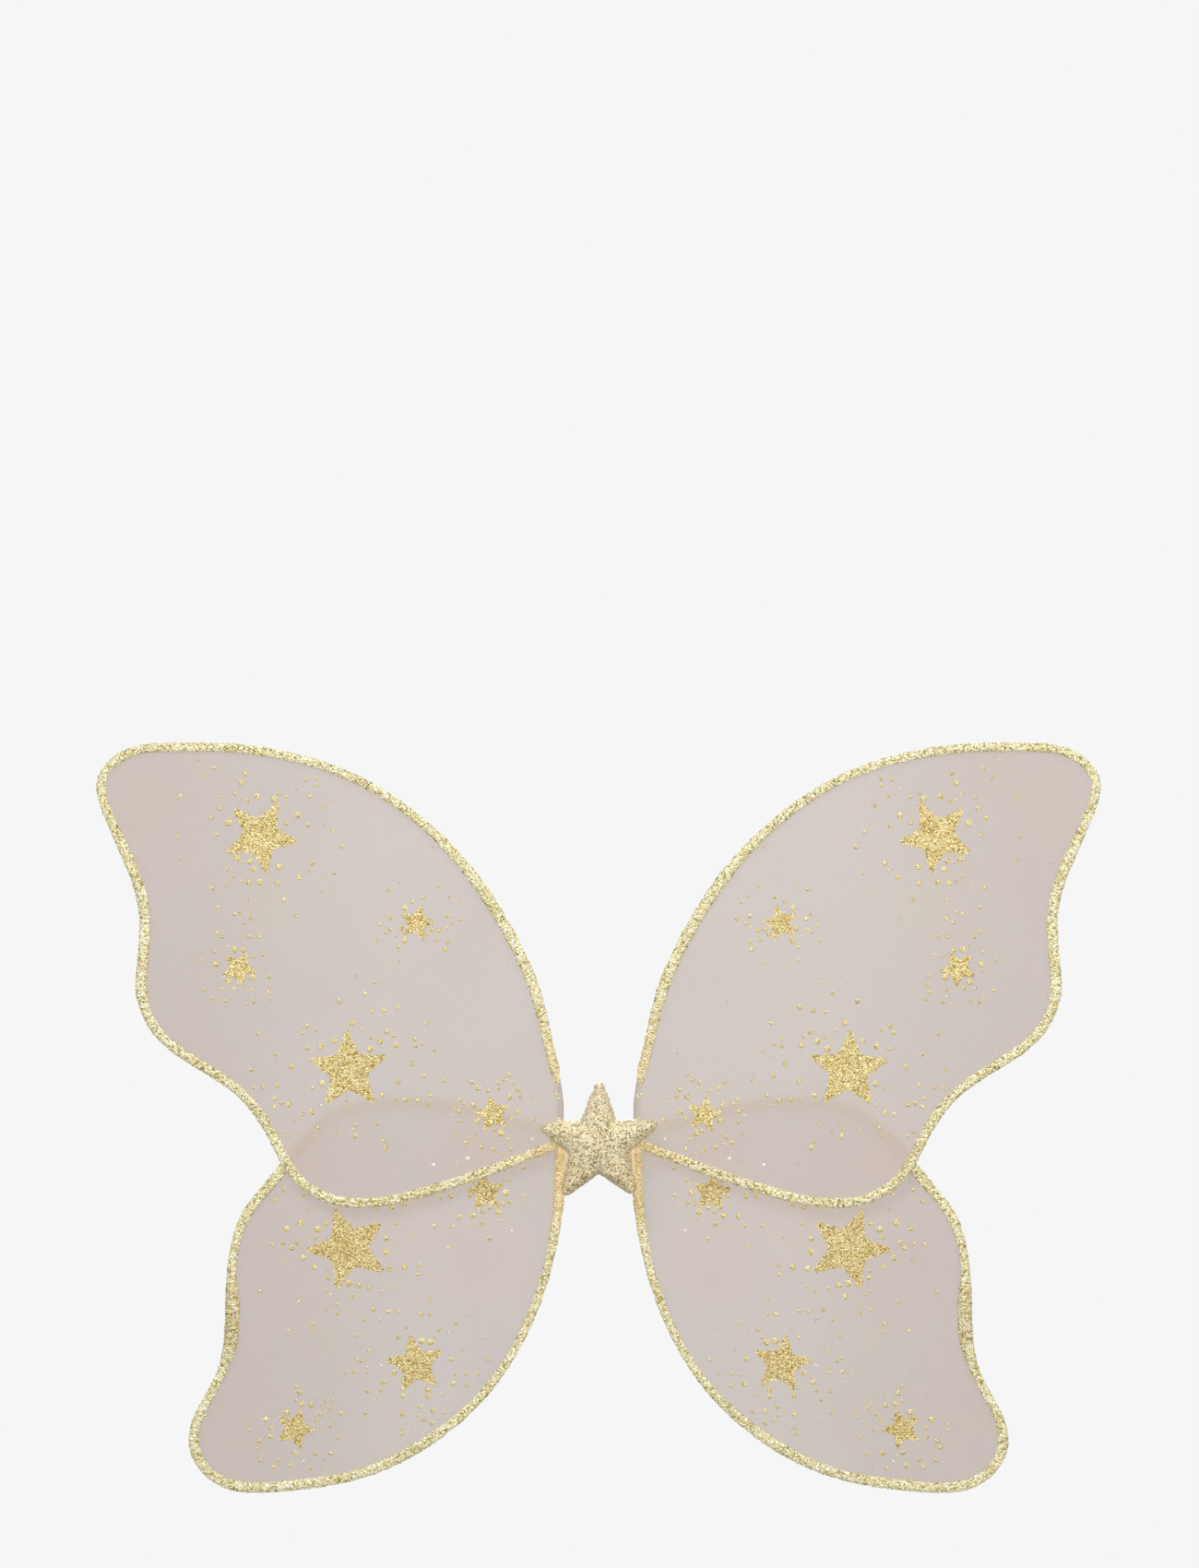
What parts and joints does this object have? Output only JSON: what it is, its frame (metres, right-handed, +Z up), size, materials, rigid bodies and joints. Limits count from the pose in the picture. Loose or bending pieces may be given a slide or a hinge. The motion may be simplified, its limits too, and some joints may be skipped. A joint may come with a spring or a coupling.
{
  "type": "fairy wings",
  "caption": "Wearable butterfly-shaped fairy wings: sheer printed mesh on wire loops with glitter edging, a stuffed star at the middle and elastic arm loops.",
  "frame": {"origin": "centre of the flat rear face of the back pad, which lies against the wearer's back", "axes": "+Z up as worn, +Y out of the rear face towards the wearer, so the star faces -Y; +X towards the right-hand wings seen from the front of the star"},
  "size_m": [0.5454, 0.1063, 0.4074],
  "materials": {
    "frame_wire": "satin",
    "crimp_ferrule": "satin",
    "glitter_edging": "satin",
    "wing_mesh": "satin",
    "glitter_print": "satin",
    "channel_fabric": "satin",
    "pad_fabric": "matte",
    "foam": "matte",
    "star_glitter_fabric": "satin",
    "stuffing": "matte",
    "elastic": "matte",
    "thread": "matte"
  },
  "bodies": {
    "hub": {"right_upper_wire_channel": "channel_fabric", "right_lower_wire_channel": "channel_fabric", "left_upper_wire_channel": "channel_fabric", "left_lower_wire_channel": "channel_fabric", "pad_rear_cover": "pad_fabric", "pad_front_cover": "pad_fabric", "pad_foam": "foam", "star_front_skin": "star_glitter_fabric", "star_back_skin": "star_glitter_fabric", "star_stuffing": "stuffing", "star_stitches": "thread", "right_arm_loop_end": "elastic", "left_arm_loop_end": "elastic"},
    "right_upper_wing": {"right_upper_wire_frame": "frame_wire", "right_upper_wire_ferrule": "crimp_ferrule", "right_upper_edge_trim": "glitter_edging", "right_upper_front_mesh": "wing_mesh", "right_upper_rear_mesh": "wing_mesh", "right_upper_glitter_stars": "glitter_print"},
    "right_lower_wing": {"right_lower_wire_frame": "frame_wire", "right_lower_wire_ferrule": "crimp_ferrule", "right_lower_edge_trim": "glitter_edging", "right_lower_front_mesh": "wing_mesh", "right_lower_rear_mesh": "wing_mesh", "right_lower_glitter_stars": "glitter_print"},
    "left_upper_wing": {"left_upper_wire_frame": "frame_wire", "left_upper_wire_ferrule": "crimp_ferrule", "left_upper_edge_trim": "glitter_edging", "left_upper_front_mesh": "wing_mesh", "left_upper_rear_mesh": "wing_mesh", "left_upper_glitter_stars": "glitter_print"},
    "left_lower_wing": {"left_lower_wire_frame": "frame_wire", "left_lower_wire_ferrule": "crimp_ferrule", "left_lower_edge_trim": "glitter_edging", "left_lower_front_mesh": "wing_mesh", "left_lower_rear_mesh": "wing_mesh", "left_lower_glitter_stars": "glitter_print"},
    "right_strap": {"right_arm_loop": "elastic"},
    "left_strap": {"left_arm_loop": "elastic"}
  },
  "joints": [
    {"name": "right_upper_wing_fold", "type": "hinge", "parent": "hub", "child": "right_upper_wing", "pos_m": [0.0205, -0.011, 0], "axis": [0, 0, -1], "range_deg": [-8, 30]},
    {"name": "right_lower_wing_fold", "type": "hinge", "parent": "hub", "child": "right_lower_wing", "pos_m": [0.021, -0.005, 0], "axis": [0, 0, -1], "range_deg": [-8, 30]},
    {"name": "right_strap_swing", "type": "hinge", "parent": "hub", "child": "right_strap", "pos_m": [0.026, -0.0013, 0], "axis": [0, 0, 1], "range_deg": [-7, 47], "stiffness_Nm_per_rad": 0.004},
    {"name": "left_upper_wing_fold", "type": "hinge", "parent": "hub", "child": "left_upper_wing", "pos_m": [-0.0205, -0.011, 0], "axis": [0, 0, 1], "range_deg": [-8, 30]},
    {"name": "left_lower_wing_fold", "type": "hinge", "parent": "hub", "child": "left_lower_wing", "pos_m": [-0.021, -0.005, 0], "axis": [0, 0, 1], "range_deg": [-8, 30]},
    {"name": "left_strap_swing", "type": "hinge", "parent": "hub", "child": "left_strap", "pos_m": [-0.026, -0.0013, 0], "axis": [0, 0, -1], "range_deg": [-7, 47], "stiffness_Nm_per_rad": 0.004}
  ],
  "couplings": [
    {"joint": "right_lower_wing_fold", "follows": "right_upper_wing_fold", "ratio": 1},
    {"joint": "left_lower_wing_fold", "follows": "left_upper_wing_fold", "ratio": 1}
  ]
}
